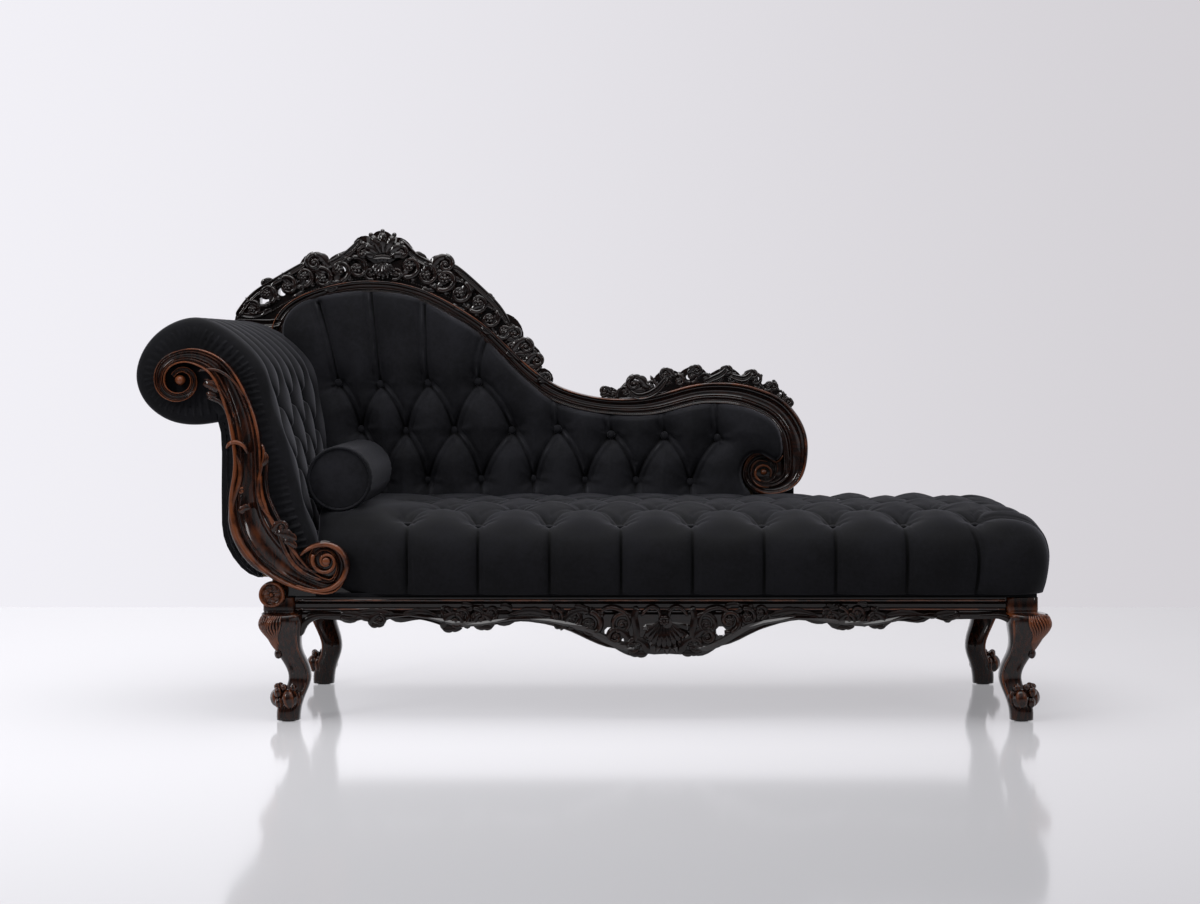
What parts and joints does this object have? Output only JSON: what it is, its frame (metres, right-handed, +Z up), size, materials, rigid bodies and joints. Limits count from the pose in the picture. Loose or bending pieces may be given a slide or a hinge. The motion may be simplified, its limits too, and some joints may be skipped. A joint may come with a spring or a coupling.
{
  "type": "chaise longue",
  "caption": "Tufted velvet chaise longue with a scrolled arm at the head end, a serpentine carved back, a pierced apron, cabriole legs and a loose round bolster.",
  "frame": {"origin": "on the floor, at the middle of the overall length and depth", "axes": "+X from the scrolled arm to the foot end, +Y from the front to the back, +Z up"},
  "size_m": [1.903, 0.686, 1.0478],
  "materials": {
    "velvet": "black cotton velvet with a soft sheen",
    "carved_wood": "near-black lacquer rubbed to red-brown on raised edges",
    "frame_wood": "plain planed beech",
    "webbing_cloth": "woven jute webbing",
    "dust_cloth": "thin black lining cloth",
    "foam": "open-cell upholstery foam",
    "steel": "zinc-plated screw",
    "glide_plastic": "black nylon glide"
  },
  "bodies": {
    "frame": {"arm_battens": "frame_wood", "arm_boss": "carved_wood", "arm_buttons": "velvet", "arm_facing": "velvet", "arm_front_board": "frame_wood", "arm_outer_panel": "velvet", "arm_pad": "velvet", "arm_rear_board": "frame_wood", "arm_roll_board": "frame_wood", "arm_scroll": "carved_wood", "back_buttons": "velvet", "back_crest": "carved_wood", "back_dowels": "frame_wood", "back_left_stile": "frame_wood", "back_outer_panel": "velvet", "back_pad": "velvet", "back_right_stile": "frame_wood", "back_tack_rails": "frame_wood", "back_top_rail": "carved_wood", "back_uprights": "frame_wood", "back_webbing": "webbing_cloth", "corner_blocks": "frame_wood", "corner_screws": "steel", "cross_webbing": "webbing_cloth", "dust_cover": "dust_cloth", "foot_glides": "glide_plastic", "foot_rail": "carved_wood", "front_apron": "carved_wood", "front_left_leg": "carved_wood", "front_rail": "carved_wood", "front_right_leg": "carved_wood", "head_rail": "carved_wood", "long_webbing": "webbing_cloth", "rear_left_leg": "carved_wood", "rear_rail": "carved_wood", "rear_right_leg": "carved_wood", "seat_buttons": "velvet", "seat_cushion": "velvet", "seat_foam": "foam", "seat_trim": "velvet", "small_crest": "carved_wood"},
    "bolster": {"bolster": "velvet", "bolster_piping": "velvet"}
  },
  "joints": [
    {"name": "bolster_lift", "type": "slide", "parent": "frame", "child": "bolster", "axis": [0, 0, 1], "range_m": [0, 0.3]}
  ]
}
